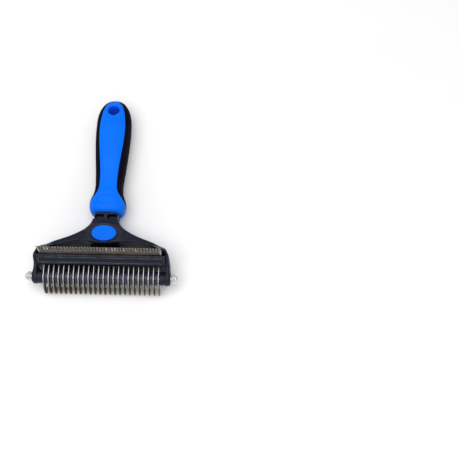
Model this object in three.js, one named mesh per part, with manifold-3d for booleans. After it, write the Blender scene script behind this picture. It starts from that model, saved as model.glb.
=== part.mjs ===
// Two-in-one dematting comb: a hooked rake on a threaded rod, a fine-toothed
// edge blade clamped above it, and a handle with a soft grip.
//
// Millimetres, +Z up. The comb lies as it rests on a table: hook tips and grip
// on the plane Z = 0, rod along X, handle along +Y. The drawing frame has its
// Y = 0 on the rod; the finished group is moved so that the origin is the
// middle of the footprint.

import * as THREE from 'three';
import { mergeVertices } from 'three/addons/utils/BufferGeometryUtils.js';
import Module from 'manifold-3d';

const wasm = await Module();
wasm.setup();

// ---- driving dimensions -------------------------------------------------

const GAP = 0.3; // clearance between touching pieces

// rake: hooked blades and spacers threaded on a rod
const ROD_Z = 15;
const ROD_R = 2;
const ROD_LENGTH = 120;
const BLADE_COUNT = 24;
const PITCH = 4;
const BLADE_T = 0.9;
const BLADE_DISC_R = 6.6;
const SPACER_R = 5.5;
const BORE_R = ROD_R + GAP;
const HOOK_FRONT_Y = -11.3;
const HOOK_BOTTOM_Y = -8.6;
const HOOK_TIP_Y = -4.6;

// head frame
const HEAD_INNER_X = 51.8; // inner face of each cheek
const CHEEK_T = 3;
const HEAD_OUTER_X = HEAD_INNER_X + CHEEK_T;
const BOSS_R = 6;
const BOSS_FACE_X = HEAD_OUTER_X + 0.7;
const WALL_Y = 8.4; // wall that the blades' tails bear on
const LIP_Z = 22.2;
const HEAD_BOTTOM_Z = 5.2;
const HEAD_TOP_Z = 29.5;
const WALL_BACK_Y = 20.5; // back of the wall that carries the edge blade
const ARM_TOP_Z = 22;
const NECK_WIDTH = 20.4;
const NECK_HEIGHT = 18;
const NECK_Z = 12.2;
const NECK_END_Y = 54.7;

// edge blade and its clamp
const EDGE_Y = 15; // middle of the plate
const EDGE_T = 0.8;
const EDGE_HALF = 48.5;
const EDGE_BOTTOM_Z = 20.8;
const EDGE_TIP_Z = 45;
const EDGE_TEETH = 42;
const EDGE_SLOT_DEPTH = 7;
const CLAMP_HALF = 51.4;
const CLAMP_SCREW_X = 22;
const CLAMP_SCREW_Z = 25.4;
const SCREW_R = 1.5;
const SCREW_HEAD_R = 2.8;
const SCREW_HEAD_T = 1.8;
const SCREW_SEAT_Y = WALL_BACK_Y - SCREW_HEAD_T - 0.4; // counterbored flush

// fasteners on the rod
const WASHER_T = 0.5;
const WASHER_R = 4.2;
const NUT_FLAT = 7; // across the flats
const NUT_HEX_LENGTH = 2.8;
const NUT_LENGTH = 5.2;

const WINDOW_FROM_X = 12; // each window starts beside the badge's web

// badge
const BADGE_Y = 35.7;
const BADGE_LONG = 10.1;
const BADGE_SHORT = 6.7;
const BADGE_T = 1.2;
const BADGE_SEAT_Z = 21.7;

// handle
const FLANGE_FRONT_Y = 55;
const FLANGE_BACK_Y = 75;
const FLANGE_WIDTH = 30.4;
const FLANGE_HEIGHT = 24.4;
const GRIP_START_Y = 58;
const HANDLE_END_Y = 163.6;
const HANDLE_TOP_Z = 24;
const HOLE_Y = 149;
const HOLE_R = 5;
const EYELET_R = 7;
const TANG_WIDTH = 13;
const TANG_HEIGHT = 9;
const TANG_END_Y = 77;

// ---- finishes -------------------------------------------------------------

const finish = (color, roughness, metalness) =>
  new THREE.MeshStandardMaterial({ color, roughness, metalness });

const blackPlastic = () => finish(0x20222b, 0.45, 0);
const blackRubber = () => finish(0x1b1c24, 0.75, 0);
const bluePlastic = () => finish(0x0a76f0, 0.3, 0);
const brushedSteel = () => finish(0xc4c3bf, 0.3, 1);
const chrome = () => finish(0xe0e0e0, 0.12, 1);

// ---- solids -----------------------------------------------------------------

function solid(geometry) {
  const bare = geometry.clone();
  bare.deleteAttribute('normal');
  bare.deleteAttribute('uv');
  const merged = mergeVertices(bare, 1e-4);
  const mesh = new wasm.Mesh({
    numProp: 3,
    vertProperties: new Float32Array(merged.attributes.position.array),
    triVerts: new Uint32Array(merged.index.array),
  });
  return new wasm.Manifold(mesh);
}

function geometryOf(manifold) {
  const mesh = manifold.getMesh();
  const geometry = new THREE.BufferGeometry();
  geometry.setAttribute('position', new THREE.BufferAttribute(mesh.vertProperties, 3));
  geometry.setIndex(new THREE.BufferAttribute(mesh.triVerts, 1));
  geometry.computeVertexNormals();
  return geometry;
}

const unite = (...pieces) => pieces.reduce((whole, piece) => whole.add(piece));
const cut = (whole, ...tools) => tools.reduce((rest, tool) => rest.subtract(tool), whole);

// A shape drawn in X, Y, raised from z0 to z1. A bevel rounds both rims inwards.
function raise(shape, z0, z1, bevel = null, curveSegments = 8) {
  const round = bevel ?? { rise: 0, inset: 0, steps: 0 };
  const geometry = new THREE.ExtrudeGeometry(shape, {
    depth: z1 - z0 - 2 * round.rise,
    curveSegments,
    bevelEnabled: bevel !== null,
    bevelThickness: round.rise,
    bevelSize: round.inset,
    bevelOffset: -round.inset,
    bevelSegments: round.steps,
  });
  geometry.translate(0, 0, z0 + round.rise);
  return geometry;
}

// A section drawn as (Y, Z), swept along X from x0 to x1.
function sweepX(shape, x0, x1, curveSegments = 8) {
  const geometry = raise(shape, x0, x1, null, curveSegments);
  const yzx = new THREE.Matrix4().makeBasis(
    new THREE.Vector3(0, 1, 0),
    new THREE.Vector3(0, 0, 1),
    new THREE.Vector3(1, 0, 0),
  );
  return geometry.applyMatrix4(yzx);
}

// A section drawn as (X, Z), swept along Y from y0 to y1.
function sweepY(shape, y0, y1, bevel = null, curveSegments = 8) {
  const geometry = raise(shape, -y1, -y0, bevel, curveSegments);
  return geometry.rotateX(Math.PI / 2);
}

function rodX(radius, x0, x1, y, z, sides = 24) {
  const geometry = new THREE.CylinderGeometry(radius, radius, x1 - x0, sides);
  geometry.rotateZ(-Math.PI / 2);
  return geometry.translate((x0 + x1) / 2, y, z);
}

function rodZ(radius, z0, z1, x, y, sides = 24) {
  const geometry = new THREE.CylinderGeometry(radius, radius, z1 - z0, sides);
  geometry.rotateX(Math.PI / 2);
  return geometry.translate(x, y, (z0 + z1) / 2);
}

function rodY(radius, y0, y1, x, z, sides = 16) {
  const geometry = new THREE.CylinderGeometry(radius, radius, y1 - y0, sides);
  return geometry.translate(x, (y0 + y1) / 2, z);
}

function box(x0, x1, y0, y1, z0, z1) {
  const geometry = new THREE.BoxGeometry(x1 - x0, y1 - y0, z1 - z0);
  return geometry.translate((x0 + x1) / 2, (y0 + y1) / 2, (z0 + z1) / 2);
}

function polygon(points) {
  return new THREE.Shape(points.map(([x, y]) => new THREE.Vector2(x, y)));
}

// A closed outline, alike on both sides of X = 0: one smooth curve through the
// right-hand points, then its mirror image.
function mirrored(points, samples) {
  const knots = points.map(([x, y]) => new THREE.Vector2(x, y));
  const right = new THREE.SplineCurve(knots).getPoints(samples);
  const left = right
    .filter((p) => p.x > 1e-6)
    .map((p) => new THREE.Vector2(-p.x, p.y))
    .reverse();
  return new THREE.Shape([...right, ...left]);
}

function roundedRect(width, height, radius, cx = 0, cy = 0) {
  const w = width / 2;
  const h = height / 2;
  const shape = new THREE.Shape();
  shape.moveTo(cx + w - radius, cy - h);
  shape.absarc(cx + w - radius, cy - h + radius, radius, -Math.PI / 2, 0);
  shape.absarc(cx + w - radius, cy + h - radius, radius, 0, Math.PI / 2);
  shape.absarc(cx - w + radius, cy + h - radius, radius, Math.PI / 2, Math.PI);
  shape.absarc(cx - w + radius, cy - h + radius, radius, Math.PI, 1.5 * Math.PI);
  return shape;
}

function ellipse(long, short, cx, cy) {
  const shape = new THREE.Shape();
  shape.absellipse(cx, cy, long, short, 0, 2 * Math.PI);
  return shape;
}

// ---- the rake ------------------------------------------------------------------

// Outline of one hooked blade, as (Y, Z): round the rod in front, a flat-topped
// tail that bears on the head's wall, and a tooth that curls back under to its tip.
function hookShape() {
  const shape = new THREE.Shape();
  shape.moveTo(WALL_Y - GAP, ROD_Z - 6);
  shape.lineTo(WALL_Y - GAP, ROD_Z + BLADE_DISC_R + 0.2);
  shape.absarc(0, ROD_Z, BLADE_DISC_R, 0.5 * Math.PI, 0.8 * Math.PI, false);
  shape.quadraticCurveTo(HOOK_FRONT_Y - 0.6, ROD_Z - 3, HOOK_FRONT_Y + 0.05, 5);
  shape.quadraticCurveTo(HOOK_FRONT_Y + 0.5, 0.6, HOOK_BOTTOM_Y, 0);
  shape.quadraticCurveTo(HOOK_BOTTOM_Y + 2.2, 0, HOOK_TIP_Y, 2.4);
  shape.quadraticCurveTo(HOOK_BOTTOM_Y + 2, 2.2, -7.2, 4.6);
  shape.quadraticCurveTo(-6.6, 8, -1.5, ROD_Z - BLADE_DISC_R);
  const bore = new THREE.Path();
  bore.absarc(0, ROD_Z, BORE_R, 0, 2 * Math.PI);
  shape.holes.push(bore);
  return shape;
}

function rakeBlade() {
  return sweepX(hookShape(), -BLADE_T / 2, BLADE_T / 2, 4);
}

function spacer() {
  const shape = new THREE.Shape();
  shape.absarc(0, ROD_Z, SPACER_R, 0, 2 * Math.PI);
  const bore = new THREE.Path();
  bore.absarc(0, ROD_Z, BORE_R, 0, 2 * Math.PI);
  shape.holes.push(bore);
  const half = (PITCH - BLADE_T) / 2 - GAP;
  return sweepX(shape, -half, half, 6);
}

function threadedRod() {
  return rodX(ROD_R, -ROD_LENGTH / 2, ROD_LENGTH / 2, 0, ROD_Z, 16);
}

function washer() {
  const disc = solid(rodX(WASHER_R, 0, WASHER_T, 0, ROD_Z, 24));
  const bore = solid(rodX(BORE_R, -1, WASHER_T + 1, 0, ROD_Z, 16));
  return geometryOf(cut(disc, bore));
}

// A cap nut with its open end at X = 0 and its dome towards +X.
function capNut() {
  const hex = solid(rodX(NUT_FLAT / Math.sqrt(3), 0, NUT_HEX_LENGTH, 0, ROD_Z, 6));
  const domeR = NUT_FLAT / 2 - 0.15;
  const profile = [new THREE.Vector2(0, NUT_HEX_LENGTH - 0.5)];
  const steps = 5;
  for (let i = 0; i <= steps; i += 1) {
    const turn = (i / steps) * (Math.PI / 2);
    const along = NUT_HEX_LENGTH + (NUT_LENGTH - NUT_HEX_LENGTH) * Math.sin(turn);
    profile.push(new THREE.Vector2(i === steps ? 0 : domeR * Math.cos(turn), along));
  }
  profile.splice(1, 0, new THREE.Vector2(domeR, NUT_HEX_LENGTH - 0.5));
  const dome = new THREE.LatheGeometry(profile, 20).rotateZ(-Math.PI / 2);
  const thread = solid(rodX(BORE_R, -1, NUT_LENGTH - 1.2, 0, ROD_Z, 16));
  return geometryOf(cut(unite(hex, solid(dome.translate(0, 0, ROD_Z))), thread));
}

// ---- the head ------------------------------------------------------------------

// Section of the head between its cheeks, as (Y, Z): the wall behind the rake,
// the step that the clamp and edge blade sit in, and the web back to the neck.
function headSection() {
  const seatZ = EDGE_BOTTOM_Z - GAP;
  const clampBack = EDGE_Y - EDGE_T / 2 - GAP;
  const bladeBack = EDGE_Y + EDGE_T / 2 + GAP;
  return polygon([
    [WALL_Y, HEAD_BOTTOM_Z],
    [WALL_Y, LIP_Z],
    [WALL_Y + 0.6, LIP_Z + 0.4],
    [clampBack, LIP_Z + 0.4],
    [clampBack, seatZ],
    [bladeBack, seatZ],
    [bladeBack, HEAD_TOP_Z],
    [WALL_BACK_Y, HEAD_TOP_Z],
    [26, ARM_TOP_Z],
    [49, ARM_TOP_Z - 1],
    [49, 3.4],
    [30, 3.4],
    [22, HEAD_BOTTOM_Z],
  ]);
}

// Outline of the head from above: arms that sweep out from the neck to rounded
// shoulders, then straight cheeks.
function headOutline() {
  return mirrored([
    [10.2, 52],
    [10.9, 47.6],
    [13.2, 43.4],
    [18, 39],
    [27.5, 33.9],
    [40, 28.9],
    [47, 25],
    [52, 19.6],
    [54.3, 14.4],
    [HEAD_OUTER_X, 8],
    [HEAD_OUTER_X, 0],
    [HEAD_OUTER_X, -7],
  ], 44);
}

function cheekSection() {
  return polygon([
    [0, ROD_Z + BOSS_R],
    [WALL_Y, LIP_Z],
    [13, HEAD_TOP_Z + 0.7],
    [17, HEAD_TOP_Z + 0.7],
    [25, 23.5],
    [25, HEAD_BOTTOM_Z],
    [WALL_Y, HEAD_BOTTOM_Z],
    [3.6, ROD_Z - BOSS_R + 0.9],
    [0, ROD_Z - BOSS_R],
  ]);
}

// The shallow hollow behind the edge blade, in front of the badge.
function recess() {
  return raise(mirrored([
    [0, 26.6],
    [9, 27.8],
    [20, 29.6],
    [31, 27.2],
    [40, 24.2],
    [44, 21.6],
    [40, WALL_BACK_Y],
    [0, WALL_BACK_Y],
  ], 24), 12, HEAD_TOP_Z + 2);
}

// One of the two windows right through the head, between the wall and an arm.
function windowCut(side) {
  const shape = new THREE.Shape();
  shape.moveTo(side * WINDOW_FROM_X, WALL_BACK_Y);
  shape.lineTo(side * WINDOW_FROM_X, 28.2);
  shape.quadraticCurveTo(side * 20, 31, side * 31, 27.2);
  shape.quadraticCurveTo(side * 39, 24.8, side * 43.6, WALL_BACK_Y);
  return raise(shape, -2, HEAD_TOP_Z + 2, null, 6);
}

// The gap between an end of the edge blade and the rounded shoulder.
function shoulderGap(side) {
  const outline = polygon([
    [side * (EDGE_HALF + 0.6), WALL_BACK_Y - 0.4],
    [side * (EDGE_HALF + 0.6), EDGE_Y - 0.7],
    [side * HEAD_INNER_X, EDGE_Y - 0.7],
    [side * HEAD_INNER_X, 16.2],
    [side * (HEAD_INNER_X - 1.4), 18.4],
  ]);
  return raise(outline, EDGE_BOTTOM_Z - GAP, HEAD_TOP_Z + 2);
}

function neck() {
  const full = roundedRect(NECK_WIDTH, NECK_HEIGHT, 5, 0, NECK_Z);
  const waist = roundedRect(NECK_WIDTH - 3.4, NECK_HEIGHT - 3.4, 4, 0, NECK_Z);
  const tang = roundedRect(TANG_WIDTH, TANG_HEIGHT, 1, 0, NECK_Z);
  const ribX = NECK_WIDTH / 2 - 2.6;
  const ribs = [0, ribX + 1, -ribX - 1].map((x, i) => {
    const half = i === 0 ? 1.5 : 1;
    return solid(box(x - half, x + half, 48, NECK_END_Y - 1, NECK_Z - 9, NECK_Z + 9));
  });
  const envelope = solid(sweepY(full, 46, NECK_END_Y, null, 5));
  return unite(
    solid(sweepY(full, 44, 49, null, 5)),
    solid(sweepY(waist, 48, NECK_END_Y - 1, null, 5)),
    solid(sweepY(full, NECK_END_Y - 1.9, NECK_END_Y, null, 5)),
    solid(sweepY(tang, NECK_END_Y - 1, TANG_END_Y, null, 2)),
    unite(...ribs).intersect(envelope),
  );
}

function headFrame() {
  const between = solid(sweepX(headSection(), -HEAD_INNER_X - 0.1, HEAD_INNER_X + 0.1));
  const cheeks = [
    solid(sweepX(cheekSection(), -HEAD_OUTER_X, -HEAD_INNER_X)),
    solid(sweepX(cheekSection(), HEAD_INNER_X, HEAD_OUTER_X)),
  ];
  const outline = solid(raise(headOutline(), -1, HEAD_TOP_Z + 5));
  const badgeBoss = solid(
    raise(ellipse(17, 9.6, 0, BADGE_Y + 0.4), 6, BADGE_SEAT_Z + 1, { rise: 1.2, inset: 1.2, steps: 2 }),
  );
  const badgeSeat = solid(
    raise(ellipse(BADGE_LONG + GAP, BADGE_SHORT + GAP, 0, BADGE_Y), BADGE_SEAT_Z, BADGE_SEAT_Z + 4),
  );

  let body = unite(between, ...cheeks).intersect(outline);
  body = cut(body, solid(recess()), solid(windowCut(-1)), solid(windowCut(1)));
  body = cut(body, solid(shoulderGap(-1)), solid(shoulderGap(1)));
  body = unite(body, badgeBoss, neck());
  body = cut(body, badgeSeat);

  const collarStart = ((BLADE_COUNT - 1) * PITCH + BLADE_T) / 2 + GAP;
  for (const side of [-1, 1]) {
    const [bossFrom, bossTo] = [side * HEAD_INNER_X, side * BOSS_FACE_X].sort((a, b) => a - b);
    const [collarFrom, collarTo] = [side * collarStart, side * (HEAD_INNER_X + 0.2)].sort((a, b) => a - b);
    const screwX = side * CLAMP_SCREW_X;
    body = unite(
      body,
      solid(rodX(BOSS_R, bossFrom, bossTo, 0, ROD_Z, 28)),
      solid(rodX(SPACER_R, collarFrom, collarTo, 0, ROD_Z, 28)),
    );
    body = cut(
      body,
      solid(rodY(SCREW_R + GAP, 14, 22, screwX, CLAMP_SCREW_Z)),
      solid(rodY(SCREW_HEAD_R + GAP, SCREW_SEAT_Y, 22, screwX, CLAMP_SCREW_Z, 20)),
    );
  }
  return geometryOf(cut(body, solid(rodX(BORE_R, -70, 70, 0, ROD_Z, 16))));
}

function badge() {
  const plate = ellipse(BADGE_LONG, BADGE_SHORT, 0, BADGE_Y);
  const from = BADGE_SEAT_Z + GAP;
  return raise(plate, from, from + BADGE_T, { rise: 0.3, inset: 0.3, steps: 1 }, 16);
}

// ---- the edge blade and its clamp ------------------------------------------------

function edgeBlade() {
  const pitch = (2 * EDGE_HALF) / EDGE_TEETH;
  const rootHalf = pitch * 0.36;
  const tipHalf = pitch * 0.2;
  const rootZ = EDGE_TIP_Z - EDGE_SLOT_DEPTH;
  const points = [[-EDGE_HALF, EDGE_BOTTOM_Z], [EDGE_HALF, EDGE_BOTTOM_Z]];
  for (let i = EDGE_TEETH - 1; i >= 0; i -= 1) {
    const x = -EDGE_HALF + pitch * (i + 0.5);
    points.push([x + rootHalf, rootZ], [x + tipHalf, EDGE_TIP_Z]);
    points.push([x - tipHalf, EDGE_TIP_Z], [x - rootHalf, rootZ]);
  }
  const plate = sweepY(polygon(points), EDGE_Y - EDGE_T / 2, EDGE_Y + EDGE_T / 2);
  const holes = [-1, 1].map((side) =>
    solid(rodY(SCREW_R + GAP, 10, 20, side * CLAMP_SCREW_X, CLAMP_SCREW_Z)));
  return geometryOf(cut(solid(plate), ...holes));
}

// A wedge-shaped strip with a rounded rib traced round its sloping face.
function bladeClamp() {
  const back = EDGE_Y - EDGE_T / 2 - GAP;
  const low = new THREE.Vector2(WALL_Y + 0.4, LIP_Z + 1.3);
  const high = new THREE.Vector2(12.8, HEAD_TOP_Z + 0.7);
  const bottom = LIP_Z + 0.4 + GAP;
  const section = polygon([
    [low.x, bottom],
    [back, bottom],
    [back, high.y],
    [high.x, high.y],
    [low.x, low.y],
  ]);
  const slope = Math.atan2(high.y - low.y, high.x - low.x);
  const face = high.distanceTo(low);
  const rib = roundedRect(2 * CLAMP_HALF - 2.4, face - 1.6, 2);
  rib.holes.push(roundedRect(2 * CLAMP_HALF - 4.4, face - 3.6, 1.2));
  const ribSolid = raise(rib, -0.6, 0.9, null, 3)
    .rotateX(slope)
    .translate(0, (low.x + high.x) / 2, (low.y + high.y) / 2);
  const pilots = [-1, 1].map((side) =>
    solid(rodY(SCREW_R + GAP, 11.6, 20, side * CLAMP_SCREW_X, CLAMP_SCREW_Z)));
  const strip = solid(sweepX(section, -CLAMP_HALF, CLAMP_HALF));
  return geometryOf(cut(unite(strip, solid(ribSolid)), ...pilots));
}

// A pan-head screw that enters the clamp from behind the head's wall.
function clampScrew() {
  const headY = SCREW_SEAT_Y + GAP;
  const shank = solid(rodY(SCREW_R, 12, headY + 1, 0, CLAMP_SCREW_Z));
  const head = solid(rodY(SCREW_HEAD_R, headY, headY + SCREW_HEAD_T, 0, CLAMP_SCREW_Z, 18));
  return geometryOf(unite(shank, head));
}

// ---- the handle ----------------------------------------------------------------

// Side view of the handle from y0 to its end, as (Y, Z). The margin is added
// over the top and past the end.
function sideProfile(y0, margin) {
  const top = HANDLE_TOP_Z + margin;
  const shape = new THREE.Shape();
  shape.moveTo(y0, 0.4);
  shape.quadraticCurveTo(76, 2.6, 86, 2.2);
  shape.quadraticCurveTo(98, 0, 110, 0);
  shape.lineTo(140, 0);
  shape.quadraticCurveTo(HANDLE_END_Y + margin, 1, HANDLE_END_Y + margin, 11);
  shape.quadraticCurveTo(HANDLE_END_Y, top - 3, 146, top - 0.4);
  shape.quadraticCurveTo(122, top + 1.4, 98, top - 1.6);
  shape.quadraticCurveTo(78, top - 3.4, 68, top + 0.4);
  shape.lineTo(y0, top + 0.4);
  return shape;
}

// Side view of the flange, as (Y, Z). Its back is the seam with the grip, which
// runs forward and down from the panel to the underside.
function flangeProfile(margin) {
  const seam = [
    [58.8, -1], [59.2, 2], [60, 5.4], [61, 9.6], [62, 13],
    [63.5, 16], [65.2, 18.6], [67.4, 20.8], [71, 23.2], [74, 26],
  ];
  return polygon([[50, 26], [50, -1], ...seam.map(([y, z]) => [y + margin, z - margin])]);
}

// The hard body: a top panel that flares into the flange, the sleeve that takes
// the head's tang, and an eyelet.
function bodyBlank(margin) {
  const panel = mirrored([
    [14.6 + margin, 60],
    [12.9 + margin, 66.5],
    [10 + margin, 70.5],
    [8.4 + margin, 73.6],
    [7.5 + margin, 77],
    [7.3 + margin, 81],
    [7.7 + margin, 94],
    [9.7 + margin, 113],
    [10.9 + margin, 131],
    [9.8 + margin, 145],
    [7.2 + margin, 154.4],
    [3.6 + margin, 159.2],
    [0, 160.6 + margin],
  ], 30);
  const flange = roundedRect(FLANGE_WIDTH + 2 * margin, FLANGE_HEIGHT + 2 * margin, 10, 0, 12.3);
  const flangeRound = { rise: 3.4, inset: 3.4, steps: 3 };
  const sleeve = roundedRect(TANG_WIDTH + 5 + 2 * margin, TANG_HEIGHT + 5 + 2 * margin, 2.5, 0, NECK_Z);
  return unite(
    solid(sweepY(sleeve, FLANGE_FRONT_Y + 3, TANG_END_Y + 3 + margin, null, 3)),
    solid(raise(panel, 9 - margin, 30)).intersect(solid(sweepX(sideProfile(58, margin), -30, 30, 5))),
    solid(sweepY(flange, FLANGE_FRONT_Y - margin, FLANGE_BACK_Y + margin, flangeRound, 6))
      .intersect(solid(sweepX(flangeProfile(margin), -30, 30))),
    solid(rodZ(EYELET_R + margin, margin > 0 ? -1 : 0.6, 20, 0, HOLE_Y, 28)),
  );
}

function handleBody() {
  const socket = roundedRect(TANG_WIDTH + 2 * GAP, TANG_HEIGHT + 2 * GAP, 1, 0, NECK_Z);
  const thumbPad = raise(ellipse(8.2, 5.8, 0, 66), 23.2, 30, null, 6);
  return geometryOf(cut(
    bodyBlank(0),
    solid(sweepY(socket, FLANGE_FRONT_Y - 2, TANG_END_Y + GAP, null, 2)),
    solid(rodZ(HOLE_R, -2, 32, 0, HOLE_Y, 24)),
    solid(thumbPad),
  ));
}

// The soft shell round the sides and underside, open along the top panel.
function softGrip() {
  const outline = mirrored([
    [15.1, 45],
    [15.1, 61],
    [14.7, 65.5],
    [11.8, 76],
    [12.5, 94],
    [14.2, 114],
    [15, 131],
    [14.2, 145],
    [11.4, 155.2],
    [6.6, 161.4],
    [0, HANDLE_END_Y],
  ], 27);
  const shell = raise(outline, 0, HANDLE_TOP_Z + 1, { rise: 8, inset: 4.5, steps: 4 });
  const whole = solid(shell).intersect(solid(sweepX(sideProfile(GRIP_START_Y, -0.6), -30, 30, 5)));
  return geometryOf(cut(whole, bodyBlank(GAP), solid(sweepX(flangeProfile(GAP), -30, 30))));
}

// ---- assembly --------------------------------------------------------------------

const comb = new THREE.Group();

function place(name, geometry, material, x = 0) {
  const mesh = new THREE.Mesh(geometry, material);
  mesh.name = name;
  mesh.position.x = x;
  comb.add(mesh);
  return mesh;
}

place('head_frame', headFrame(), blackPlastic());
place('handle_body', handleBody(), bluePlastic());
place('soft_grip', softGrip(), blackRubber());
place('badge', badge(), bluePlastic());
place('edge_blade', edgeBlade(), brushedSteel());
place('blade_clamp', bladeClamp(), blackPlastic());
place('clamp_screw_left', clampScrew(), brushedSteel(), -CLAMP_SCREW_X);
place('clamp_screw_right', clampScrew(), brushedSteel(), CLAMP_SCREW_X);
place('threaded_rod', threadedRod(), brushedSteel());

for (let i = 0; i < BLADE_COUNT; i += 1) {
  const x = (i - (BLADE_COUNT - 1) / 2) * PITCH;
  const number = String(i + 1).padStart(2, '0');
  place(`rake_blade_${number}`, rakeBlade(), brushedSteel(), x);
  if (i < BLADE_COUNT - 1) {
    place(`spacer_${number}`, spacer(), blackPlastic(), x + PITCH / 2);
  }
}

const washerX = BOSS_FACE_X + GAP;
const nutX = washerX + WASHER_T + GAP;
for (const [side, turn] of [['right', 0], ['left', Math.PI]]) {
  const fasteners = new THREE.Group();
  fasteners.rotation.z = turn;
  for (const [name, geometry, material, x] of [
    [`washer_${side}`, washer(), brushedSteel(), washerX],
    [`cap_nut_${side}`, capNut(), chrome(), nutX],
  ]) {
    const mesh = new THREE.Mesh(geometry, material);
    mesh.name = name;
    mesh.position.x = x;
    fasteners.add(mesh);
  }
  comb.add(fasteners);
}

const footprint = new THREE.Box3().setFromObject(comb);
comb.position.y = -(footprint.min.y + footprint.max.y) / 2;

const assembly = new THREE.Group();
assembly.add(comb);

export default assembly;
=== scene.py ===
import math

import bmesh
import bpy
import numpy as np
from mathutils import Matrix, Vector


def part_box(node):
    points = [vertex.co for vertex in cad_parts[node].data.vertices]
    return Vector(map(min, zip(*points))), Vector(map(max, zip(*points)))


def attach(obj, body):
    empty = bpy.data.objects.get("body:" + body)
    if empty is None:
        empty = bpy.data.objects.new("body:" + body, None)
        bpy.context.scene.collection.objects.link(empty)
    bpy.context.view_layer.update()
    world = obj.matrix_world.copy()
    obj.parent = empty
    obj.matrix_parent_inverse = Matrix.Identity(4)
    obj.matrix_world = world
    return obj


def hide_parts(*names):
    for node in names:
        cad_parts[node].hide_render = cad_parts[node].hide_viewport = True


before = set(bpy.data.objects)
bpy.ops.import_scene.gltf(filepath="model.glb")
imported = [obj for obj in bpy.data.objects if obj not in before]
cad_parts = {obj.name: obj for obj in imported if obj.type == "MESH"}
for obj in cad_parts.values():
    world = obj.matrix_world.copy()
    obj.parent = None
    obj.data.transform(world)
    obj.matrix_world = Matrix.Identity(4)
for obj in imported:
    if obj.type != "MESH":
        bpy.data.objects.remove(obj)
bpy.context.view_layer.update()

# Shapes are drawn in millimetres, with X along the rod, Y measured from the
# rod's axis towards the handle, and Z up from the table. row() puts them in
# the shared frame, in metres.

MM = 0.001
rod_lo, rod_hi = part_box("threaded_rod")
ROD_Y = (rod_lo.y + rod_hi.y) / 2
ROD_Z = (rod_lo.z + rod_hi.z) / 2 / MM
ROD_R = (rod_hi.z - rod_lo.z) / 2 / MM

SECTION_POWER = 2.55  # how square the handle's sections are
SEAM = 0.11  # half of the gap between the blue panel and the soft grip
FLANGE_Y = 55.0  # the flange's front face
HANDLE_END = (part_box("soft_grip")[1].y - ROD_Y) / MM
PANEL_END = (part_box("handle_body")[1].y - ROD_Y) / MM - 0.1
TAIL_Y, TAIL_HALF_WIDTH = 138, 14.9  # where the handle's rounded end starts
HOLE_Y = 149.0
HOLE_CUT_R = 5.7  # cut in both shells, and lined by the eyelet
SHELL_T, SHELL_LIP = 1.7, 0.38
THUMB_PAD = (8.4, 5.9, 66.2)  # semi-axes, centre Y
THUMB_PAD_DEPTH = 0.9
PANEL_COLUMNS, SIDE_COLUMNS = 56, 36
NO_WIDTH = 1e-6

BADGE = (10.1, 6.7, 35.7, 22.0)  # semi-axes, centre Y, seat Z
NECK_POCKET = (1.75, 8.9, 49.4, 53.0)  # inner and outer X, front and back Y
EDGE_TEETH = 42
RAKE_BLADES, RAKE_SPACERS = 24, 23
HUB_R = 6.6  # a rake blade's disc round the rod
BORE_R = ROD_R + 0.3  # the bores of the blades, spacers and washers


def row(p):
    return (p[0] * MM, ROD_Y + p[1] * MM, p[2] * MM)


def box_mm(node):
    """A CAD node's lowest and highest corner, in the drawing's millimetres."""
    lo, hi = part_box(node)
    shift = Vector((0, ROD_Y, 0))
    return (lo - shift) / MM, (hi - shift) / MM


def held(value):
    """The value held between 0 and 1."""
    return min(1.0, max(0.0, value))


def round_turn(count):
    """Angles evenly round a circle."""
    return np.linspace(0, 2 * math.pi, count, endpoint=False)


def placed(name, data):
    thing = bpy.data.objects.new(name, data)
    bpy.context.scene.collection.objects.link(thing)
    return thing


# ---- mesh tools ----------------------------------------------------------------


def skin(rows, wrap=True, loop=False, caps=(False, False)):
    """Quads between neighbouring rows of points, as (points, faces)."""
    n, count = len(rows[0]), len(rows)
    points = [tuple(p) for r in rows for p in r]
    faces = []
    for i in range(count if loop else count - 1):
        k = (i + 1) % count
        for j in range(n if wrap else n - 1):
            m = (j + 1) % n
            faces.append((i * n + j, i * n + m, k * n + m, k * n + j))
    if caps[0]:
        faces.append(tuple(reversed(range(n))))
    if caps[1]:
        faces.append(tuple((count - 1) * n + j for j in range(n)))
    return points, faces


def mesh_from(bm, name):
    mesh = bpy.data.meshes.new(name)
    bm.to_mesh(mesh)
    bm.free()
    return mesh


def mesh_of(name, *skins, weld=2e-6):
    """One mesh from skins in the drawing's millimetres. A face that is already
    there is left out."""
    bm = bmesh.new()
    for points, faces in skins:
        made = [bm.verts.new(row(p)) for p in points]
        for face in faces:
            try:
                bm.faces.new([made[i] for i in face])
            except ValueError:
                pass
    bmesh.ops.remove_doubles(bm, verts=bm.verts, dist=weld)
    bmesh.ops.dissolve_degenerate(bm, edges=bm.edges, dist=1e-7)
    bmesh.ops.recalc_face_normals(bm, faces=bm.faces)
    return mesh_from(bm, name)


def worked(mesh, *steps):
    """The mesh after these modifiers, each given as (type, settings)."""
    thing = placed("work", mesh)
    for kind, settings in steps:
        modifier = thing.modifiers.new(kind.lower(), kind)
        for key, value in settings.items():
            setattr(modifier, key, value)
    graph = bpy.context.evaluated_depsgraph_get()
    result = bpy.data.meshes.new_from_object(thing.evaluated_get(graph))
    bpy.data.objects.remove(thing)
    return result


def bevelled(mesh, width, segments=3, angle=40):
    return worked(mesh, ("BEVEL", dict(
        width=width * MM, segments=segments, limit_method="ANGLE",
        angle_limit=math.radians(angle), harden_normals=True)))


def joined(name, meshes):
    bm = bmesh.new()
    for mesh in meshes:
        bm.from_mesh(mesh)
    return mesh_from(bm, name)


def remeshed(mesh, voxel, smoothing):
    return worked(
        mesh,
        ("REMESH", dict(mode="VOXEL", voxel_size=voxel * MM, adaptivity=0.0)),
        ("SMOOTH", dict(factor=0.5, iterations=smoothing)))


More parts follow.
